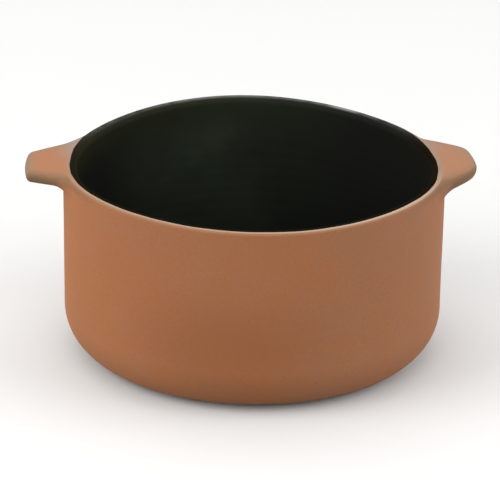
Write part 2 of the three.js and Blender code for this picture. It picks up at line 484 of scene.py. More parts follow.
    @classmethod
    def turning(cls) -> Tree:
        """Tree that turns a profile about the upright axis, sinks what lies on the lip, and dries it."""
        if "wheel_turning" in cls._made:
            return cls._made["wheel_turning"]
        tree = cls._start("wheel_turning", cls.TURNING + cls.DRYING)
        given = add_node(tree, "NodeGroupInput").outputs
        profile = add_node(tree, "GeometryNodeObjectInfo", {"Object": given["Profile"]}).outputs["Geometry"]
        hub = add_node(tree, "GeometryNodeCurvePrimitiveCircle", {
            "Resolution": given["Turn Steps"], "Radius": given["Hub Radius"],
        }).outputs["Curve"]
        turned = add_node(tree, "GeometryNodeCurveToMesh", {
            "Curve": hub, "Profile Curve": profile,
        }).outputs["Mesh"]
        closed = add_node(tree, "GeometryNodeMergeByDistance", {
            "Geometry": turned, "Distance": cls.MERGED_WITHIN * MM,
        }).outputs[0]
        poured = add_node(tree, "GeometryNodeSetPosition", {
            "Geometry": closed, "Offset": cls._sink(tree, given),
        }).outputs[0]
        dried = add_node(tree, "GeometryNodeGroup", {
            "Geometry": poured, **{name: given[name] for name in cls.DRYING},
        }, node_tree=cls.drying())
        add_node(tree, "NodeGroupOutput", {"Geometry": dried.outputs["Geometry"]})
        return tree


@dataclass(frozen=True)
class Drying:
    """How the clay moved as it dried: the same for all pieces, so that what touches stays together."""

    sag: float = 0.84
    twist: float = 1.0
    twist_high: float = math.radians(94)
    wobble: float = 0.7
    wobble_size: float = 60.0
    seed: float = 4.0

    def inputs(self, sizes: DishSizes, material: bpy.types.Material) -> dict[str, Any]:
        """Values for the named inputs that both trees share.

        Args:
            sizes: sizes of the dish, for where the movement begins and ends.
            material: what the finished mesh is made of.

        Returns:
            Socket name to value.
        """
        return {
            "Sag": self.sag * MM, "Twist": self.twist * MM, "Twist High": self.twist_high,
            "Still Below": sizes.heel * MM, "Rim Height": sizes.height * MM, "Wobble": self.wobble * MM,
            "Wobble Size": self.wobble_size * MM, "Seed": self.seed, "Material": material,
        }


def new_object(name: str, data: bpy.types.ID) -> bpy.types.Object:
    """Makes an object at the origin and links it to the scene.

    Args:
        name: name of the piece.
        data: mesh, curve, light or camera.

    Returns:
        The object.
    """
    made = bpy.data.objects.new(name, data)
    bpy.context.scene.collection.objects.link(made)
    return made


def shaped_by(obj: bpy.types.Object, tree: Tree, values: dict[str, Any]) -> bpy.types.Object:
    """Runs a Geometry Nodes tree on an object and keeps the result as its plain mesh.

    Args:
        obj: mesh object that carries the tree.
        tree: the tree to run.
        values: name of each input to its value.

    Returns:
        The same object with its new mesh and no modifier.
    """
    modifier = obj.modifiers.new(tree.name, "NODES")
    modifier.node_group = tree
    for item in tree.interface.items_tree:
        if item.item_type == "SOCKET" and item.in_out == "INPUT" and item.name in values:
            modifier[item.identifier] = values[item.name]
    graph = bpy.context.evaluated_depsgraph_get()
    mesh = bpy.data.meshes.new_from_object(obj.evaluated_get(graph))
    obj.modifiers.remove(modifier)
    old = obj.data
    obj.data = mesh
    mesh.name = obj.name
    bpy.data.meshes.remove(old)
    return obj


def turn_on_wheel(
    name: str, profile: Profile, steps: int, values: dict[str, Any], hub: float = 10.0,
) -> bpy.types.Object:
    """Turns a profile about the upright axis into a closed mesh.

    Args:
        name: name of the piece.
        profile: (radius, height) points in millimetres, from the axis and clockwise, so that faces point
            outward.
        steps: number of steps round the axis.
        values: inputs for the drying of the clay.
        hub: radius in millimetres of the circle that carries the profile round.

    Returns:
        The finished object.
    """
    curve = bpy.data.curves.new(name + "_profile", "CURVE")
    curve.dimensions = "3D"
    spline = curve.splines.new("POLY")
    spline.points.add(len(profile) - 1)
    for point, (radius, height) in zip(spline.points, profile):
        point.co = ((radius - hub) * MM, -height * MM, 0.0, 1.0)
    drawn = new_object(curve.name, curve)
    piece = new_object(name, bpy.data.meshes.new(name))
    values = {"Profile": drawn, "Turn Steps": steps, "Hub Radius": hub * MM, **values}
    shaped_by(piece, NodeTrees.turning(), values)
    bpy.data.objects.remove(drawn)
    bpy.data.curves.remove(curve)
    return piece


@dataclass(frozen=True)
class Terracotta:
    """Low-fired red earthenware, thrown and wiped with a sponge, left bare.

    To the eye it is dead matt and warm, with soft clouds of orange and rose from the kiln, a fine sandy
    grain, a few dark grains of grog and faint lines from wiping, and painted shade in a deeper patch low on
    the front. The lip carries a painted highlight, partly rubbed pale, darker at its outer edge where that is
    painted shade, and greyer at the sides. Ash lies behind the handles. Painted shade darkens the wall beside
    the handles' front roots and the handles' tips, front edges and undersides, and finger grime, partly
    painted shade, marks their tips and rear edges.

    Lengths are in millimetres. Pairs say where a share begins and where it is full: on a noise, or as a
    distance from the axis, from the rim's radius or from the rim's height.
    """

    clay: str = "#ac714a"
    orange: str = "#b07044"
    rose: str = "#aa7555"
    # Painted shade: a deeper, darker patch low on the front wall.
    low_front_shade: str = "#a2643a"
    grog: str = "#7c5039"
    # Painted highlight on the lip, partly rubbed wear; paler still on its right.
    rubbed_highlight: str = "#b3967f"
    right_highlight: str = "#c1ac98"
    # Painted shade on the lip's outer edge, grey on its sides, and finger grime on the handles.
    grime_and_shade: str = "#8e7963"
    ashen: str = "#978b84"
    # Painted shade on the handles and on the wall beside their front roots.
    painted_shade_colour: str = "#765d45"

    ior: float = 1.5
    diffuse_roughness: float = 0.6
    roughness: float = 0.8
    roughness_play: float = 0.07
    rubbed_smoother: float = 0.25

    cloud_mm: float = 55.0
    cloud_range: Range = (0.36, 0.64)
    patch_mm: float = 17.0
    rose_range: Range = (0.4, 0.75)
    rose_most: float = 0.6
    lean: Range = (-0.3, 0.4)
    rose_lean: float = 0.8
    # Where the painted shade low on the front lies, and how strong it is.
    low_shade_centre: Triple = (-20.0, -95.0, 38.0)
    low_shade_reach: Triple = (78.0, 60.0, 42.0)
    low_shade_range: Range = (1.0, 0.1)
    low_shade_most: float = 0.85

    grain_mm: float = 1.3
    grain_range: Range = (0.3, 0.7)
    grain_light: Range = (0.93, 1.07)
    grain_depth: float = 0.1
    grain_strength: float = 0.5
    grog_mm: float = 9.0
    grog_range: Range = (0.075, 0.035)
    grog_most: float = 0.55
    grog_left_out: float = 0.75
    wipe_mm: float = 2.2
    wipe_length: float = 90.0
    wipe_depth: float = 0.12
    wipe_strength: float = 0.25

    # Where the lip's painted highlight lies, and how it fades.
    lip_up: Range = (-15.45, -8.24)
    lip_aside: Range = (-60.0, -10.0)
    lip_drawn_in: float = 0.5
    lip_wander: float = 0.8
    lip_starts: float = 0.5
    lip_full: Range = (-0.7, -1.8)
    lip_most: float = 0.75
    # The lip darkens toward its outer edge: painted shade.
    darker_lean: float = -0.005
    darker_out: Range = (-1.7, -0.7)
    paler_right: Range = (-50.0, 60.0)
    uneven_range: Range = (0.32, 0.6)
    uneven: Range = (0.6, 1.1)

    ash_right_left: Range = (0.425, 0.85)
    ash_behind: Range = (6.0, 40.0)
    ash_until: Range = (74.0, 46.0)
    ash_out: Range = (7.0, 0.0)
    ash_up: Range = (-6.0, -2.0)
    drift_range: Range = (0.3, 0.7)
    drift: Range = (0.55, 1.0)
    # Painted shade on the wall beside the handles' front roots.
    root_shade_most: float = 0.75
    root_shade_lean: float = 0.05
    root_shade_front: Range = (-64.0, -32.0)
    root_shade_until: Range = (-12.0, -24.0)
    root_shade_in: Range = (-1.6, -0.4)
    root_shade_out: Range = (8.0, 2.0)
    root_shade_up: Range = (-5.5, -1.0)

    def material(self, sizes: DishSizes) -> bpy.types.Material:
        """Builds the shader.

        Args:
            sizes: sizes of the dish, for the place of the lip.

        Returns:
            The material.
        """
        made, shader = new_material("terracotta_bare")
        tree = made.node_tree
        surface = Surface.of(tree, add_node(tree, "ShaderNodeTexCoord").outputs["Object"])
        patches = add_node(tree, "ShaderNodeTexNoise", {
            "Vector": surface.place, "Scale": 1 / (self.patch_mm * MM), "Detail": 3.0, "Roughness": 0.55,
        }).outputs["Fac"]
        uneven = add_node(tree, "ShaderNodeMapRange", {
            "Value": patches, FROM: self.uneven_range, TO: self.uneven,
        }).outputs["Result"]
        # Sandy grain: real grit is 0.2 to 0.4 mm, drawn three times as coarse so that it shows.
        grain = add_node(tree, "ShaderNodeTexNoise", {
            "Vector": surface.place, "Scale": 1 / (self.grain_mm * MM), "Detail": 2.0, "Roughness": 0.6,
        }).outputs["Fac"]
        rub_highlight, lip = self.lip(surface, sizes, patches, uneven)
        colour = self.gritty(surface, self.fired(surface, sizes, patches), grain)
        # The lip's painted highlight, partly rubbed wear.
        colour = surface.coat(colour, lip, rub_highlight)
        colour = self.handle_marks(surface, sizes, uneven, colour)
        # Painted shade on the handles and beside their front roots.
        colour = surface.coat(colour, linear(self.painted_shade_colour), self.smoke(surface, sizes, patches))
        dull = add_node(tree, "ShaderNodeMapRange", {
            "Value": grain, FROM: self.grain_range,
            "To Min": self.roughness - self.roughness_play, "To Max": self.roughness + self.roughness_play,
        }).outputs["Result"]
        dull = add_node(tree, "ShaderNodeMath", {
            0: rub_highlight, 1: -self.rubbed_smoother, 2: dull,
        }, operation="MULTIPLY_ADD").outputs[0]
        fill(shader, {
            "Base Color": colour, "Roughness": dull, "Normal": self.relief(surface, grain),
            "IOR": self.ior, "Diffuse Roughness": self.diffuse_roughness,
        })
        return made

    def fired(self, surface: Surface, sizes: DishSizes, patches: Socket) -> Socket:
        """Adds the kiln's colours, clouds of orange and patches of rose, and painted shade low on the front.

        Orange lies more on the left, where the fire was, and rose more on the right. The painted shade is a
        deeper patch, soft at its edges.

        Args:
            surface: where the point lies.
            sizes: sizes of the dish.
            patches: noise of the smaller patches.

        Returns:
            The colour.
        """
        tree = surface.tree
        lean = add_node(tree, "ShaderNodeMapRange", {
            "Value": surface.x, FROM: metres((-sizes.rim_radius, sizes.rim_radius)), TO: self.lean,
        }).outputs["Result"]
        cloud = add_node(tree, "ShaderNodeTexNoise", {
            "Vector": surface.place, "Scale": 1 / (self.cloud_mm * MM), "Detail": 2.0, "Roughness": 0.5,
        }).outputs["Fac"]
        cloud = add_node(tree, "ShaderNodeMapRange", {
            "Value": cloud, FROM: self.cloud_range,
        }).outputs["Result"]
        cloud = add_node(tree, "ShaderNodeMath", {
            0: cloud, 1: lean,
        }, operation="SUBTRACT", use_clamp=True).outputs[0]
        rosy = add_node(tree, "ShaderNodeMapRange", {
            "Value": patches, FROM: self.rose_range, "To Max": self.rose_most,
        }).outputs["Result"]
        rosy = add_node(tree, "ShaderNodeMath", {
            0: lean, 1: self.rose_lean, 2: rosy,
        }, operation="MULTIPLY_ADD", use_clamp=True).outputs[0]
        # Painted shade: a deeper patch low on the front wall.
        low_shade = add_node(tree, "ShaderNodeVectorMath", {
            0: surface.place, 1: Vector(self.low_shade_centre) * MM,
        }, operation="SUBTRACT").outputs[0]
        low_shade = add_node(tree, "ShaderNodeVectorMath", {
            0: low_shade, 1: Vector(self.low_shade_reach) * MM,
        }, operation="DIVIDE").outputs[0]
        low_shade = add_node(tree, "ShaderNodeVectorMath", {0: low_shade}, operation="LENGTH").outputs["Value"]
        low_shade = add_node(tree, "ShaderNodeMapRange", {
            "Value": low_shade, FROM: self.low_shade_range, "To Max": self.low_shade_most,
        }, interpolation_type="SMOOTHSTEP").outputs["Result"]
        colour = surface.coat(linear(self.clay), linear(self.orange), cloud)
        colour = surface.coat(colour, linear(self.rose), rosy)
        return surface.coat(colour, linear(self.low_front_shade), low_shade)

    def gritty(self, surface: Surface, colour: Socket, grain: Socket) -> Socket:
        """Adds light and dark of the grain, and grog: dark grains under a millimetre, in one cell of four.

        Args:
            surface: where the point lies.
            colour: colour of the fired clay.
            grain: noise of the sandy grain.

        Returns:
            The colour.
        """
        tree = surface.tree
        light = add_node(tree, "ShaderNodeMapRange", {
            "Value": grain, FROM: self.grain_range, TO: self.grain_light,
        }).outputs["Result"]
        sandy = add_node(tree, "ShaderNodeVectorMath", {
            0: colour, "Scale": light,
        }, operation="SCALE").outputs["Vector"]
        cells = add_node(tree, "ShaderNodeTexVoronoi", {
            "Vector": surface.place, "Scale": 1 / (self.grog_mm * MM),
        }).outputs
        chosen = add_node(tree, "ShaderNodeSeparateColor", {0: cells["Color"]}).outputs["Red"]
        chosen = add_node(tree, "ShaderNodeMath", {
            0: chosen, 1: self.grog_left_out,
        }, operation="GREATER_THAN").outputs[0]
        spot = add_node(tree, "ShaderNodeMapRange", {
            "Value": cells["Distance"], FROM: self.grog_range, "To Max": self.grog_most,
        }).outputs["Result"]
        spot = add_node(tree, "ShaderNodeMath", {0: spot, 1: chosen}, operation="MULTIPLY").outputs[0]
        return surface.coat(sandy, linear(self.grog), spot)

    def lip(
        self, surface: Surface, sizes: DishSizes, patches: Socket, uneven: Socket,
    ) -> tuple[Socket, Socket]:
        """Adds the flat lip's painted highlight, partly rubbed pale by hands and cloths, paler on the right,
        greyer at the sides, and darker at the outer edge, where that is painted shade.

        Args:
            surface: where the point lies.
            sizes: sizes of the dish.
            patches: noise of the patches, which makes the lip's edge wander.
            uneven: how much of a mark has stayed.

        Returns:
            The share that carries the painted highlight, partly rubbed wear, and its colour.
        """
        tree = surface.tree
        rim = sizes.rim_radius
        high = add_node(tree, "ShaderNodeMapRange", {
            "Value": surface.z, FROM: metres(self.lip_up, sizes.height),
        }).outputs["Result"]
        aside = add_node(tree, "ShaderNodeMapRange", {
            "Value": surface.y, FROM: metres(self.lip_aside),
        }).outputs["Result"]
        drawn_in = surface.radius
        for share, reach in ((aside, self.lip_drawn_in), (patches, self.lip_wander)):
            drawn_in = add_node(tree, "ShaderNodeMath", {
                0: share, 1: reach * MM, 2: drawn_in,
            }, operation="MULTIPLY_ADD").outputs[0]
        full = add_node(tree, "ShaderNodeMapRange", {
            "Value": aside, TO: metres(self.lip_full, rim),
        }).outputs["Result"]
        # Painted highlight on top of the lip, partly rubbed wear.
        rub_highlight = add_node(tree, "ShaderNodeMapRange", {
            "Value": drawn_in, "From Min": (rim + self.lip_starts) * MM, "From Max": full,
            "To Max": self.lip_most,
        }, interpolation_type="SMOOTHSTEP").outputs["Result"]
        rub_highlight = add_node(tree, "ShaderNodeMath", {0: high, 1: rub_highlight}, operation="MULTIPLY").outputs[0]
        # Painted shade: the lip is darker toward its outer edge, and greyer at the sides.
        outward = add_node(tree, "ShaderNodeMath", {
            0: surface.x, 1: self.darker_lean, 2: surface.radius,
        }, operation="MULTIPLY_ADD").outputs[0]
        outward = add_node(tree, "ShaderNodeMapRange", {
            "Value": outward, FROM: metres(self.darker_out, rim),
        }).outputs["Result"]
        darker_share = add_node(tree, "ShaderNodeMath", {0: aside, 1: outward}, operation="MAXIMUM").outputs[0]
        # A paler painted highlight on the right of the lip.
        paler = add_node(tree, "ShaderNodeMapRange", {
            "Value": surface.x, FROM: metres(self.paler_right), "To Max": uneven,
        }).outputs["Result"]
        colour = surface.coat(linear(self.rubbed_highlight), linear(self.right_highlight), paler)
        return rub_highlight, surface.coat(colour, linear(self.grime_and_shade), darker_share)

    def handle_marks(self, surface: Surface, sizes: DishSizes, uneven: Socket, colour: Socket) -> Socket:
        """Adds finger grime on the handles, partly painted shade at tips and rear edges, and grey ash on lip
        and roots behind them.

        Args:
            surface: where the point lies.
            sizes: sizes of the dish.
            uneven: how much of a mark has stayed.
            colour: colour of the clay.

        Returns:
            The colour.
        """
        tree = surface.tree
        # Finger grime, partly painted shade at the tips and rear edges.
        held = add_node(tree, "ShaderNodeAttribute", attribute_name="held").outputs["Fac"]
        held = add_node(tree, "ShaderNodeMath", {
            0: held, 1: uneven,
        }, operation="MULTIPLY", use_clamp=True).outputs[0]
        colour = surface.coat(colour, linear(self.grime_and_shade), held)
        ash = add_node(tree, "ShaderNodeMapRange", {
            "Value": surface.x, FROM: metres((sizes.rim_radius, -sizes.rim_radius)), TO: self.ash_right_left,
        }).outputs["Result"]
        ash = add_node(tree, "ShaderNodeMath", {0: ash, 1: uneven}, operation="MULTIPLY").outputs[0]
        return surface.coat(
            colour, linear(self.ashen), ash,
            (surface.y, 0.0, self.ash_behind), (surface.y, 0.0, self.ash_until),
            (surface.radius, sizes.rim_radius, self.ash_out), (surface.z, sizes.height, self.ash_up),
        )

    def smoke(self, surface: Surface, sizes: DishSizes, patches: Socket) -> Socket:
        """Adds painted shade on the handles' tips, front edges and undersides, and beside their front roots.

        Args:
            surface: where the point lies.
            sizes: sizes of the dish.
            patches: noise of the patches, which makes the painted shade uneven.

        Returns:
            The share that is darkened.
        """
        tree = surface.tree
        drift = add_node(tree, "ShaderNodeMapRange", {
            "Value": patches, FROM: self.drift_range, TO: self.drift,
        }).outputs["Result"]
        # Painted shade on the handles' tips, front edges and undersides.
        smoke = add_node(tree, "ShaderNodeAttribute", attribute_name="smoke").outputs["Fac"]
        smoke = add_node(tree, "ShaderNodeMath", {0: smoke, 1: drift}, operation="MULTIPLY").outputs[0]
        # The painted shade beside the roots reaches farther round on the right.
        forward = add_node(tree, "ShaderNodeMath", {
            0: surface.x, 1: self.root_shade_lean, 2: surface.y,
        }, operation="MULTIPLY_ADD").outputs[0]
        root_shade = add_node(tree, "ShaderNodeMath", {
            0: drift, 1: self.root_shade_most,
        }, operation="MULTIPLY").outputs[0]
        rim = sizes.rim_radius
        root_shade = surface.narrowed(
            root_shade, (forward, 0.0, self.root_shade_front), (forward, 0.0, self.root_shade_until),
            (surface.radius, rim, self.root_shade_in), (surface.radius, rim, self.root_shade_out),
            (surface.z, sizes.height, self.root_shade_up),
        )
        return add_node(tree, "ShaderNodeMath", {0: smoke, 1: root_shade}, operation="MAXIMUM").outputs[0]

    def relief(self, surface: Surface, grain: Socket) -> Socket:
        """Adds the wiping lines round the wall, too faint for a colour of their own, and the grain's relief.

        Args:
            surface: where the point lies.
            grain: noise of the sandy grain.

        Returns:
            The normal.
        """
        tree = surface.tree
        along = 1 / (self.wipe_length * MM)
        squeezed = add_node(tree, "ShaderNodeMapping", {
            "Vector": surface.place, "Scale": (along, along, 1 / (self.wipe_mm * MM)),
        }).outputs["Vector"]
        wipe = add_node(tree, "ShaderNodeTexNoise", {
            "Vector": squeezed, "Scale": 1.0, "Detail": 2.0,
        }).outputs["Fac"]
        lines = add_node(tree, "ShaderNodeBump", {
            "Strength": self.wipe_strength, "Distance": self.wipe_depth * MM, "Height": wipe,
        }).outputs["Normal"]
        return add_node(tree, "ShaderNodeBump", {
            "Strength": self.grain_strength, "Distance": self.grain_depth * MM, "Height": grain,
            "Normal": lines,
        }).outputs["Normal"]


@dataclass(frozen=True)
class BlackGlaze:
    """Manganese-black tin-free glaze, poured in and turned round while wet.

    To the eye it is a deep, slightly green black with a dull satin sheen and a soft ripple; on the
    left-centre of the inside the green is painted light. It is dark and brownish at its edge. Where it runs
    thin over the lip at the back it carries a painted grey reflection, broken into streaks, and one paler
    painted highlight.

    Lengths are in millimetres. Pairs say where a share begins and where it is full: on a noise, or as a
    distance from the axis, from the inner wall or edge, or from the rim's height.
    """

    black: str = "#1a1b17"
    # Green clouds, kept to the left-centre of the inside, where they are painted light.
    green: str = "#343c31"
    deep: str = "#160f05"
    brown: str = "#221d13"
    olive: str = "#232418"
    # Painted reflection and highlight: grey on the lip at the back, and one paler spot.
    thin: str = "#6b6964"
    pale_highlight: str = "#98968f"

    ior: float = 1.52
    gloss: float = 0.02
    roughness: float = 0.5
    roughness_play: Range = (-0.05, 0.06)
    pooled_duller: float = 0.45

    cloud_mm: float = 30.0
    cloud_range: Range = (0.3, 0.7)
    ripple_mm: float = 9.0
    ripple_depth: float = 0.15
    ripple_strength: float = 0.3
    streak_mm: float = 14.0
    streak_range: Range = (0.36, 0.56)
    streaks: Range = (0.15, 1.05)

    # Painted light: where the green clouds lie, on the left-centre of the inside.
    lit_left: Range = (70.0, -40.0)
    lit_until: Range = (-85.0, -30.0)
    thinner_left: Range = (60.0, -60.0)
    thinner_back: Range = (-35.0, 25.0)
    olive_up: Range = (-20.0, -2.0)
    pool_front: Range = (60.0, 15.0)
    pool_out: float = -1.0
    pool_full: Range = (0.0, 1.6)
    over_lip: Range = (-2.0, 2.4)
    # Where the painted reflection and highlight lie on the lip.
    reflection_back: Range = (30.0, 100.0)
    highlight_place: tuple[float, float] = (55.0, 83.0)
    highlight_reach: Range = (13.0, 4.0)

    def material(self, sizes: DishSizes) -> bpy.types.Material:
        """Builds the shader.

        Args:
            sizes: sizes of the dish, for the place of the glaze line.

        Returns:
            The material.
        """
        made, shader = new_material("manganese_glaze")
        tree = made.node_tree
        surface = Surface.of(tree, add_node(tree, "ShaderNodeTexCoord").outputs["Object"])
        cloud = add_node(tree, "ShaderNodeTexNoise", {
            "Vector": surface.place, "Scale": 1 / (self.cloud_mm * MM), "Detail": 3.0,
        }).outputs["Fac"]
        thinner = 1.0
        for coordinate, zone in ((surface.x, self.thinner_left), (surface.y, self.thinner_back)):
            thinner = add_node(tree, "ShaderNodeMapRange", {
                "Value": coordinate, FROM: metres(zone), "To Max": thinner,
            }).outputs["Result"]
        pooled = self.pooled(surface, sizes, thinner)
        edge = surface.coat(linear(self.deep), linear(self.brown), thinner)
        # Painted light: green clouds lighten the left-centre of the inside.
        colour = surface.coat(
            linear(self.black), linear(self.green), cloud,
            (surface.x, 0.0, self.lit_left), (surface.x, 0.0, self.lit_until),
        )
        colour = surface.coat(colour, linear(self.olive), thinner, (surface.z, sizes.height, self.olive_up))
        colour = self.lip_reflections(surface, sizes, surface.coat(colour, edge, pooled))
        ripple = add_node(tree, "ShaderNodeTexNoise", {
            "Vector": surface.place, "Scale": 1 / (self.ripple_mm * MM), "Detail": 1.0,
        }).outputs["Fac"]
        relief = add_node(tree, "ShaderNodeBump", {
            "Strength": self.ripple_strength, "Distance": self.ripple_depth * MM, "Height": ripple,
        }).outputs["Normal"]
        satin = add_node(tree, "ShaderNodeMapRange", {
            "Value": cloud, FROM: self.cloud_range,
            TO: [self.roughness + play for play in self.roughness_play],
        }).outputs["Result"]
        satin = add_node(tree, "ShaderNodeMath", {
            0: pooled, 1: self.pooled_duller, 2: satin,
        }, operation="MULTIPLY_ADD").outputs[0]
        fill(shader, {
            "Base Color": colour, "Roughness": satin, "Normal": relief,
            "IOR": self.ior, "Specular IOR Level": self.gloss,
        })
        return made

    def pooled(self, surface: Surface, sizes: DishSizes, thinner: Socket) -> Socket:
        """Adds the edge on the front lip, where the glaze pooled, farther out where it is thinner.

        Args:
            surface: where the point lies.
            sizes: sizes of the dish.
            thinner: how much thinner the glaze is there.

        Returns:
            The share of the pooled edge.
        """
        inner = sizes.rim_radius - sizes.wall
        full = add_node(surface.tree, "ShaderNodeMapRange", {
            "Value": thinner, TO: metres(self.pool_full, inner),
        }).outputs["Result"]
        return add_node(surface.tree, "ShaderNodeMapRange", {
            "Value": surface.radius, "From Min": (inner + self.pool_out) * MM, "From Max": full,
            "To Max": surface.narrowed(1.0, (surface.y, 0.0, self.pool_front)),
        }, interpolation_type="SMOOTHSTEP").outputs["Result"]

    def lip_reflections(self, surface: Surface, sizes: DishSizes, colour: Socket) -> Socket:
        """Adds painted reflections where the glaze runs over the lip: grey streaks at the back, one paler
        highlight.

        Args:
            surface: where the point lies.
            sizes: sizes of the dish.
            colour: colour of the whole glaze.

        Returns:
            The colour.
        """
        tree = surface.tree
        over = (surface.radius, sizes.inner_edge[0], self.over_lip)
        streaks = add_node(tree, "ShaderNodeTexNoise", {
            "Vector": surface.place, "Scale": 1 / (self.streak_mm * MM), "Detail": 4.0, "Roughness": 0.65,
        }).outputs["Fac"]
        broken = add_node(tree, "ShaderNodeMapRange", {
            "Value": streaks, FROM: self.streak_range, TO: self.streaks,
        }).outputs["Result"]
        # Painted reflection: grey streaks along the lip at the back.
        colour = surface.coat(colour, linear(self.thin), broken, over, (surface.y, 0.0, self.reflection_back))
        # Painted highlight: one paler spot on the lip at the back right.
        away = add_node(tree, "ShaderNodeVectorMath", {
            0: surface.place, 1: Vector((*self.highlight_place, sizes.height)) * MM,
        }, operation="DISTANCE").outputs["Value"]
        return surface.coat(colour, linear(self.pale_highlight), 1.0, over, (away, 0.0, self.highlight_reach))


@dataclass
class DishBody:
    """The thrown shell: foot ring, heel, wall and flat lip with softened edges."""

    sizes: DishSizes
    drying: Drying
    turn_steps: int = 288
    floor_steps: int = 12
    inner_heel_steps: int = 18
    inner_wall_steps: int = 24
    edge_steps: int = 14
    lip_steps: int = 6
    wall_steps: int = 34
    heel_steps: int = 30
    foot_steps: int = 5
    bend_steps: int = 6
    hollow_steps: int = 90
    foot_edge: float = 2.1
    groove_pitch: float = 3.4
    groove_depth: float = 0.14
    groove_fade_in: float = 8.0
    groove_fade_out: float = 3.0

    def profile(self) -> Profile:
        """Half-section from the middle of the inside floor, over the lip, to the middle of the underside."""
        s = self.sizes
        inner = s.heel_centre(s.rim_radius - s.wall, s.floor, s.inner_heel)
        outer = s.heel_centre(s.rim_radius, 0.0, s.heel)
        points: Profile = [(0.0, s.floor)]
        points += straight(points[0], (inner[0], s.floor), self.floor_steps)
        points += arc(*inner, s.inner_heel, -math.pi / 2, -s.draft, self.inner_heel_steps)
        lip = arc(*s.inner_edge, s.lip_inner_edge, math.pi - s.draft, math.pi / 2, self.edge_steps)
        edge = arc(*s.outer_edge, s.lip_outer_edge, math.pi / 2, -s.draft, self.edge_steps)
        lip += straight(lip[-1], edge[0], self.lip_steps) + edge
        points += straight(points[-1], lip[0], self.inner_wall_steps) + lip
        heel = arc(*outer, s.heel, -s.draft, -math.pi / 2, self.heel_steps)
        points += straight(lip[-1], heel[0], self.wall_steps) + heel
        return points + self.underside(outer[0])

    def underside(self, foot_outer: float) -> Profile:
        """Foot ring, its softened inner edge, and the hollow with the lines that the turning tool left.

        Args:
            foot_outer: outer radius of the flat ring.

        Returns:
            Points from the ring inward to the axis.
        """
        s = self.sizes
        foot = foot_outer - s.foot_width
        slope = math.atan2(s.foot_recess, s.foot_slope)
        edge = self.foot_edge
        bend = edge * math.tan(slope / 2)
        points: Profile = straight((foot_outer, 0.0), (foot + bend, 0.0), self.foot_steps)
        points += arc(foot + bend, edge, edge, -math.pi / 2, -math.pi / 2 - slope, self.bend_steps)
        hollow = foot - s.foot_slope
        for i in range(self.hollow_steps + 1):
            radius = hollow * (1 - i / self.hollow_steps)
            fade = smoothstep(radius, 0.0, self.groove_fade_in)
            fade *= smoothstep(hollow - radius, 0.0, self.groove_fade_out)
            wave = 0.5 - 0.5 * math.cos(2 * math.pi * radius / self.groove_pitch)
            points.append((radius, s.foot_recess + self.groove_depth * wave * fade))
        return points

    def build(self, finish: bpy.types.Material) -> bpy.types.Object:
        """Turns the shell and gives it its finish.

        Args:
            finish: the bare clay.

        Returns:
            The piece.
        """
        values = self.drying.inputs(self.sizes, finish) | {"Lip Sink": 0.0}
        return self.dress(turn_on_wheel("terracotta_body", self.profile(), self.turn_steps, values))

    @staticmethod
    def dress(piece: bpy.types.Object) -> bpy.types.Object:
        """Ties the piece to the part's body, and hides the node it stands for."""
        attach(piece, "root")
        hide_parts("dish_body")
        return piece


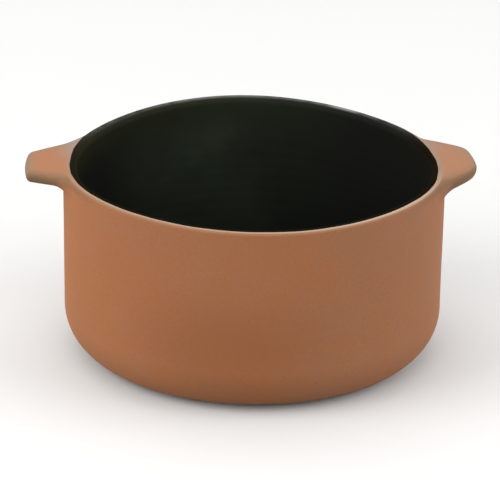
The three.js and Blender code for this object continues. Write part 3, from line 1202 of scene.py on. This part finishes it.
@dataclass
class GlazeLining:
    """The poured coat on the inside, which ran over the lip at the back and was wiped off it at the front."""

    sizes: DishSizes
    drying: Drying
    turn_steps: int = 288
    sunk: float = 0.03
    lip_coat: float = 0.12
    lip_sink: float = 0.3
    line_front: float = 97.15
    line_left: float = 96.8
    line_right: float = 95.9
    line_back: float = 100.2
    line_wander: float = 1.0
    edge_angle: float = math.radians(38)
    edge_length: float = 1.6
    feather: float = 0.3
    ring_pitch: float = 6.5
    ring_depth: float = 0.07
    rings_begin: Range = (12.0, 34.0)
    rings_end: float = 10.0
    edge_steps: int = 6
    lip_steps: int = 14
    rounding_steps: int = 22
    wall_steps: int = 44
    heel_steps: int = 18
    floor_steps: int = 44

    def surface(self, offset: float) -> Profile:
        """Surface of the clay from the lip's outer edge down to the axis, moved off the clay by a distance.

        Args:
            offset: distance in millimetres, positive toward the food.

        Returns:
            Points from the lip to the middle of the floor.
        """
        s = self.sizes
        rounding = s.inner_heel - offset
        centre = s.heel_centre(s.rim_radius - s.wall - offset, s.floor + offset, rounding)
        middle = (0.0, s.floor + offset)
        points = arc(
            *s.outer_edge, s.lip_outer_edge + offset, self.edge_angle, math.pi / 2, self.edge_steps,
        )
        inner = arc(
            *s.inner_edge, s.lip_inner_edge + offset, math.pi / 2, math.pi - s.draft, self.rounding_steps,
        )
        points += straight(points[-1], inner[0], self.lip_steps) + inner
        heel = arc(*centre, rounding, -s.draft, -math.pi / 2, self.heel_steps)
        points += straight(points[-1], heel[0], self.wall_steps) + heel
        return points + straight(points[-1], middle, self.floor_steps) + [middle]

    def profile(self) -> Profile:
        """Closed section of the coat: its face from the floor up to the lip, then back down the clay."""
        s = self.sizes
        back = self.surface(-self.sunk)
        face = self.surface(s.glaze)
        coat: Profile = []
        along = 0.0
        thin = (self.lip_coat + self.sunk) / (s.glaze + self.sunk)
        for i, (low, high) in enumerate(zip(back, face)):
            along += math.dist(back[i - 1], low) if i else 0.0
            inside = max(along - s.wall + s.lip_inner_edge, 0.0)
            share = thin * (1 - math.exp(-along / self.feather))
            share += (1 - thin) * (1 - math.exp(-inside / self.edge_length))
            rings = self.ring_depth * math.sin(2 * math.pi * along / self.ring_pitch)
            rings *= smoothstep(along, *self.rings_begin) * smoothstep(low[0], 0.0, self.rings_end)
            share += rings / (s.glaze + self.sunk)
            coat.append((low[0] + (high[0] - low[0]) * share, low[1] + (high[1] - low[1]) * share))
        return coat[::-1] + back[1:]

    def build(self, finish: bpy.types.Material) -> bpy.types.Object:
        """Turns the coat and gives it its finish.

        Args:
            finish: the glaze.

        Returns:
            The piece.
        """
        values = self.drying.inputs(self.sizes, finish) | {
            "Lip Sink": self.lip_sink * MM, "Line Front": self.line_front * MM,
            "Line Left": self.line_left * MM, "Line Right": self.line_right * MM,
            "Line Back": self.line_back * MM, "Line Wander": self.line_wander * MM,
        }
        return self.dress(turn_on_wheel("black_glaze_lining", self.profile(), self.turn_steps, values))

    @staticmethod
    def dress(piece: bpy.types.Object) -> bpy.types.Object:
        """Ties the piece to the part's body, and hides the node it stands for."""
        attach(piece, "root")
        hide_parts("glaze_lining")
        return piece


@dataclass(frozen=True)
class Flank:
    """One flank of a handle, seen from above, in millimetres and radians."""

    tip_half_width: float
    angle: float
    corner_radius: float
    flare: float
    flare_reach: float

    def half_width(self, overhang: float, out: float) -> float:
        """Half of the handle's width at a distance out from the rim: straight flank, then rounded corner.

        Args:
            overhang: distance from the rim to the tip.
            out: distance from the rim.

        Returns:
            Half of the width in millimetres.
        """
        slant = math.tan(self.angle)
        corner_out = overhang - self.corner_radius
        corner_y = self.tip_half_width + self.corner_radius * (slant - 1 / math.cos(self.angle))
        if out > corner_out + self.corner_radius * math.sin(self.angle):
            return corner_y + math.sqrt(max(self.corner_radius ** 2 - (out - corner_out) ** 2, 0.0))
        return self.tip_half_width + (overhang - out) * slant


@dataclass(frozen=True)
class HandleWearAndShade:
    """Painted shade on a handle, and the grime that fingers left on it.

    Zones are where a share begins and where it is full: as distances from the tip in millimetres, or, at the
    flanks, as shares of the flat run. How far down a face is goes from -1 on top to 1 underneath.
    """

    # Painted shade along the front edge, at the tip and underneath.
    front_shade: float
    tip_shade: float = 0.45
    shade_rings: tuple[int, int] = (-9, 2)
    front_zone: Range = (0.5, 1.05)
    rear_zone: Range = (0.75, 1.0)
    end_zone: Range = (3.0, 0.3)
    tip_zone: Range = (5.0, 0.6)
    grip_zone: Range = (12.0, 3.0)
    front_down: Range = (-1.0, -0.2)
    rear_down: Range = (-1.0, 0.4)
    touched: float = 0.22
    gripped: float = 0.14
    # Grime at the tip and rear edge, partly painted shade.
    edge_grime_and_shade: float = 0.5


@dataclass
class LugHandle:
    """A flat lug pressed on at the rim, its root drawn out along wall and lip until no seam shows."""

    sizes: DishSizes
    drying: Drying
    side: Side
    overhang: float
    thickness: float
    wedge: float
    under_flare: float
    front: Flank
    back: Flank
    wear_and_shade: HandleWearAndShade
    turn: float = math.radians(2.8)
    drop: float = 0.15
    rise: float = math.radians(2.1)
    flare_top: float = 0.1
    flare_top_reach: float = 1.5
    sunk: float = 0.25
    ring_gap: float = 0.8
    tip_edge: float = 0.1
    run_steps: int = 26
    edge_steps: int = 14
    flare_steps: int = 16
    span_steps: int = 8
    tip_steps: int = 20
    seat_steps: int = 7
    around: list[tuple[float, float]] = field(init=False)

    def __post_init__(self) -> None:
        """Lists the places round a section as (share of the flat run, angle of the face)."""
        top = [(1 - 2 * i / self.run_steps, math.pi / 2) for i in range(self.run_steps)]
        edge = [(-1.0, math.pi / 2 + math.pi * i / self.edge_steps) for i in range(self.edge_steps)]
        half = top + edge
        self.around = half + [(-share, angle + math.pi) for share, angle in half]

    @property
    def root_length(self) -> float:
        """Distance from the wall just past the last of the root's flares, so that no two rings meet."""
        return max(self.front.flare_reach, self.back.flare_reach, self.under_flare) + self.ring_gap

    def tip_out(self, step: int) -> float:
        """Distance from the wall of a ring near the tip, the rings lying closer together toward the end.

        Args:
            step: number of the ring, from where the root's flares have all ended.

        Returns:
            Distance in millimetres.
        """
        share = math.sin(math.pi / 2 * step / self.tip_steps)
        return self.root_length + (self.overhang - self.root_length) * share

    def flank(self, share: float) -> Flank:
        """The flank that a share of the flat run belongs to, while the handle still points along +X."""
        return self.front if (share > 0) == (self.side is Side.LEFT) else self.back

    def flare_reach(self, place: tuple[float, float]) -> float:
        """How far out the flare of the root reaches at a place round the section.

        Args:
            place: share of the flat run and angle of the face, 90 degrees being the top.

        Returns:
            Distance from the wall in millimetres.
        """
        share, angle = place
        sideways = math.cos(angle) ** 2
        upright = self.flare_top_reach if math.sin(angle) > 0 else self.under_flare
        return self.flank(share).flare_reach * sideways + upright * (1 - sideways)

    def point(self, place: tuple[float, float], out: float, flare: float, sink: float = 0.0) -> Vector:
        """Point on the handle, along X.

        Args:
            place: share of the flat run and angle of the face.
            out: distance from the wall.
            flare: share of the root's full spread.
            sink: distance that the point is pushed into the wall.

        Returns:
            The point in millimetres.
        """
        s = self.sizes
        share, angle = place
        across, upward = math.cos(angle), math.sin(angle)
        flank = self.flank(share)
        left = self.overhang - out
        thick = self.thickness + left * math.tan(self.wedge)
        to_tip = max(1 - left / (thick / 2), 0.0)
        half = max(thick / 2 * math.sqrt(max(1 - to_tip ** 2, 0.0)), self.tip_edge)
        middle = s.height - self.drop + out * math.tan(self.rise) - thick / 2
        spread = self.flare_top if upward > 0 else self.under_flare
        width = flank.half_width(self.overhang, out)
        y = (width - half) * share + half * across + across * flank.flare * flare
        z = middle + half * upward + upward * spread * flare
        away = smoothstep(out, 0.0, self.root_length)
        radius = s.wall_radius(z) * (1 - away) + s.rim_radius * away + out - sink
        return Vector((math.sqrt(radius ** 2 - y ** 2), y, z))

    def seat(self, ring: list[Vector], share: float) -> list[Vector]:
        """Ring of the hidden seat face: the root's outline drawn in to its middle, just under the wall.

        Args:
            ring: outline of the root on the wall.
            share: how much of the outline's size is left.

        Returns:
            The smaller ring, on the wall.
        """
        middle = sum(ring, Vector()) / len(ring)
        made = []
        for point in ring:
            y = middle.y + (point.y - middle.y) * share
            z = middle.z + (point.z - middle.z) * share
            radius = self.sizes.wall_radius(z) - self.sunk
            made.append(Vector((math.sqrt(radius ** 2 - y ** 2), y, z)))
        return made

    def rings(self) -> list[list[Vector]]:
        """Rings from the middle of the seat, over the flared root and the flat span, to the rounded tip."""
        root = [self.point(place, 0.0, 1.0) for place in self.around]
        made = [self.seat(root, i / self.seat_steps) for i in range(1, self.seat_steps + 1)]
        for i in range(self.flare_steps + 1):
            swing = math.pi / 2 * i / self.flare_steps
            out, flare = 1 - math.cos(swing), 1 - math.sin(swing)
            made.append([self.point(p, self.flare_reach(p) * out, flare) for p in self.around])
        start = self.root_length
        for i in range(1, self.span_steps + 1):
            share = i / self.span_steps
            made.append([
                self.point(p, self.flare_reach(p) * (1 - share) + start * share, 0.0) for p in self.around
            ])
        for i in range(1, self.tip_steps + 1):
            made.append([self.point(p, self.tip_out(i), 0.0) for p in self.around])
        return made

    def near_tip(self, out: float, zone: Range) -> float:
        """Share that goes from 0 to 1 between two distances from the tip."""
        return smoothstep(out, self.overhang - zone[0], self.overhang - zone[1])

    def marks(self) -> tuple[list[float], list[float]]:
        """Painted shade and finger grime for each point of the rings.

        Returns:
            Painted shade on tip, front edge and underside, then the grime of fingers, most of it at tip and
            rear edge, where it is partly painted shade.
        """
        smoke, held = [], []
        wear_and_shade = self.wear_and_shade
        first = self.seat_steps + self.flare_steps
        last = first + self.span_steps
        for i in range(last + self.tip_steps + 1):
            along = smoothstep(i, first + wear_and_shade.shade_rings[0], first + wear_and_shade.shade_rings[1])
            rooted = smoothstep(i, self.seat_steps, first)
            out = self.tip_out(i - last) if i > last else 0.0
            zones = (wear_and_shade.end_zone, wear_and_shade.tip_zone, wear_and_shade.grip_zone)
            end, tip, grip = (self.near_tip(out, zone) for zone in zones)
            for share, angle in self.around:
                upward = math.sin(angle)
                rear = self.flank(share) is self.back
                begun = 0.0 if rear else wear_and_shade.front_shade * smoothstep(abs(share), *wear_and_shade.front_zone)
                begun = max(begun, wear_and_shade.tip_shade * end)
                below = smoothstep(-upward, *(wear_and_shade.rear_down if rear else wear_and_shade.front_down))
                # Painted shade on the front edge, the tip and the underside.
                smoke.append(along * (begun + (1 - begun) * below))
                edge = smoothstep(abs(share), *wear_and_shade.rear_zone) if rear and upward > 0 else 0.0
                # Finger grime, partly painted shade at the tip and rear edge.
                held.append(rooted * (wear_and_shade.touched + wear_and_shade.gripped * grip + wear_and_shade.edge_grime_and_shade * max(tip, edge)))
        return smoke, held

    def build(self, finish: bpy.types.Material) -> bpy.types.Object:
        """Lofts the rings, turns the handle to its side, and gives it its finish.

        Args:
            finish: the bare clay.

        Returns:
            The piece.
        """
        name = f"{self.side.value}_lug_handle"
        shape = bmesh.new()
        rows = [[shape.verts.new(point * MM) for point in ring] for ring in self.rings()]
        count = len(self.around)
        for low, high in zip(rows, rows[1:]):
            for j in range(count):
                k = (j + 1) % count
                shape.faces.new((low[j], low[k], high[k], high[j]))
        shape.faces.new(rows[0][::-1])
        shape.faces.new(rows[-1])
        root = set(rows[self.seat_steps])
        for edge in shape.edges:
            edge.smooth = not root.issuperset(edge.verts)
        angle = self.turn if self.side is Side.RIGHT else math.pi - self.turn
        bmesh.ops.rotate(shape, verts=shape.verts, cent=(0, 0, 0), matrix=Matrix.Rotation(angle, 3, "Z"))
        mesh = bpy.data.meshes.new(name)
        shape.to_mesh(mesh)
        shape.free()
        for label, shares in zip(("smoke", "held"), self.marks()):
            mesh.attributes.new(label, "FLOAT", "POINT").data.foreach_set("value", shares)
        values = self.drying.inputs(self.sizes, finish)
        return self.dress(shaped_by(new_object(name, mesh), NodeTrees.drying(), values))

    def dress(self, piece: bpy.types.Object) -> bpy.types.Object:
        """Ties the piece to the part's body, and hides the handle and the slip that the root hides."""
        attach(piece, "root")
        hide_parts(f"{self.side.value}_handle", f"{self.side.value}_luting_slip")
        return piece


@dataclass(frozen=True)
class Softbox:
    """A square lamp: its name, its place and side in metres, and its power in watts."""

    name: str
    place: Triple
    side: float
    power: float


@dataclass
class Studio:
    """Pale floor, soft light from the upper left, and the camera of the photograph."""

    azimuth: float = math.radians(-4.4)
    elevation: float = math.radians(21.917)
    roll: float = math.radians(0.988)
    distance: float = 2500.0
    pixels_per_mm: float = 1.9
    aim_right: float = -1.56
    aim_up: float = 54.224
    frame_pixels: int = 500
    sensor: float = 36.0
    far_clip: float = 50.0
    room: float = 0.65
    floor_seen: str = "#f4f4f3"
    floor_lit: str = "#757575"
    floor_roughness: float = 0.9
    floor_gloss: float = 0.1
    floor_half: float = 6.0
    floor_drop: float = 0.2
    lamp_aim: float = 60.0
    lamps: tuple[Softbox, ...] = (
        Softbox("key_left", (-1.35, -0.55, 0.85), 1.2, 13.0),
        Softbox("fill_right", (1.35, -0.4, 0.7), 1.2, 8.5),
        Softbox("front_soft", (-0.2, -1.3, 1.0), 1.2, 4.5),
        Softbox("top_back", (-0.1, 0.7, 1.5), 1.4, 4.5),
    )

    def camera(self) -> bpy.types.Object:
        """Places the camera as it stood for the photograph, a long way off with a long lens."""
        data = bpy.data.cameras.new("camera")
        data.sensor_width = self.sensor
        data.lens = self.pixels_per_mm * self.distance * data.sensor_width / self.frame_pixels
        a, e = self.azimuth, self.elevation
        back = Vector((math.sin(a) * math.cos(e), -math.cos(a) * math.cos(e), math.sin(e)))
        right = Vector((math.cos(a), math.sin(a), 0.0))
        aim = right * self.aim_right + Vector((0.0, 0.0, self.aim_up))
        made = new_object("camera", data)
        made.location = (aim + back * self.distance) * MM
        made.rotation_mode = "QUATERNION"
        made.rotation_quaternion = (-back).to_track_quat("-Z", "Y") @ Quaternion((0.0, 0.0, 1.0), self.roll)
        data.clip_end = self.far_clip
        bpy.context.scene.camera = made
        return made

    @staticmethod
    def seen(tree: Tree) -> Socket:
        """Adds the share that is 1 for rays that look at the room, straight or in a gloss, and 0 for light.

        Args:
            tree: tree of the floor or the world.

        Returns:
            The socket with the share.
        """
        path = add_node(tree, "ShaderNodeLightPath").outputs
        both = add_node(tree, "ShaderNodeMath", {
            0: path["Is Camera Ray"], 1: path["Is Glossy Ray"],
        }, operation="MAXIMUM").outputs[0]
        return add_node(tree, "ShaderNodeMath", {
            0: both, 1: path["Is Transmission Ray"],
        }, operation="MAXIMUM").outputs[0]

    def floor(self) -> bpy.types.Object:
        """Lays a pale floor: white to the eye, but a quiet grey to the light that it sends back up."""
        made, shader = new_material("studio_floor")
        tree = made.node_tree
        colour = add_node(tree, "ShaderNodeMix", {
            MIX_SHARE: self.seen(tree), MIX_GROUND: linear(self.floor_lit),
            MIX_ABOVE: linear(self.floor_seen),
        }, data_type="RGBA").outputs[MIX_RESULT]
        fill(shader, {
            "Base Color": colour, "Roughness": self.floor_roughness, "Specular IOR Level": self.floor_gloss,
        })
        shape = bmesh.new()
        bmesh.ops.create_grid(shape, x_segments=1, y_segments=1, size=self.floor_half)
        mesh = bpy.data.meshes.new("studio_floor")
        shape.to_mesh(mesh)
        shape.free()
        mesh.materials.append(made)
        floor = new_object("studio_floor", mesh)
        floor.location.z = -self.floor_drop * MM
        return floor

    def lamp(self, box: Softbox) -> bpy.types.Object:
        """Hangs a softbox that looks at the dish.

        Args:
            box: the lamp to hang.

        Returns:
            The lamp.
        """
        data = bpy.data.lights.new(box.name, "AREA")
        data.shape = "SQUARE"
        data.size = box.side
        data.energy = box.power
        made = new_object(box.name, data)
        made.location = box.place
        made.rotation_mode = "QUATERNION"
        aim = Vector((0.0, 0.0, self.lamp_aim * MM))
        made.rotation_quaternion = (aim - Vector(box.place)).to_track_quat("-Z", "Y")
        return made

    def light(self) -> None:
        """Sets the even light of the room and the softboxes."""
        world = bpy.data.worlds.new("room")
        world.use_nodes = True
        tree = world.node_tree
        level = add_node(tree, "ShaderNodeMapRange", {
            "Value": self.seen(tree), "To Min": self.room, "To Max": 1.0,
        }).outputs["Result"]
        fill(tree.nodes["Background"], {"Strength": level, "Color": (1.0, 1.0, 1.0, 1.0)})
        bpy.context.scene.world = world
        for box in self.lamps:
            self.lamp(box)


def main() -> None:
    """Builds the dish, its glaze and its handles, and the studio, and reports each piece."""
    logging.basicConfig(level=logging.INFO, format="%(name)s: %(message)s")
    bpy.context.scene.view_settings.view_transform = "Standard"
    sizes = DishSizes()
    drying = Drying()
    clay = Terracotta().material(sizes)
    glaze = BlackGlaze().material(sizes)
    left = LugHandle(
        sizes, drying, Side.LEFT, overhang=19.8, thickness=5.1, wedge=math.radians(0.2), under_flare=7.0,
        wear_and_shade=HandleWearAndShade(front_shade=0.7),
        front=Flank(16.7, math.radians(20.8), corner_radius=3.4, flare=9.0, flare_reach=6.0),
        back=Flank(17.4, math.radians(46.5), corner_radius=6.5, flare=18.5, flare_reach=12.8),
    )
    right = LugHandle(
        sizes, drying, Side.RIGHT, overhang=16.7, thickness=5.2, wedge=math.radians(7.3), under_flare=5.7,
        wear_and_shade=HandleWearAndShade(front_shade=0.5),
        front=Flank(16.2, math.radians(49.3), corner_radius=27.5, flare=8.9, flare_reach=5.7),
        back=Flank(17.2, math.radians(50.0), corner_radius=22.8, flare=3.0, flare_reach=3.0),
    )
    pieces = [
        DishBody(sizes, drying).build(clay),
        GlazeLining(sizes, drying).build(glaze),
        left.build(clay),
        right.build(clay),
    ]
    for piece in pieces:
        piece.data.calc_loop_triangles()
        LOG.info("%s: %d triangles", piece.name, len(piece.data.loop_triangles))
    studio = Studio()
    studio.camera()
    studio.floor()
    studio.light()


if __name__ == "__main__":
    main()
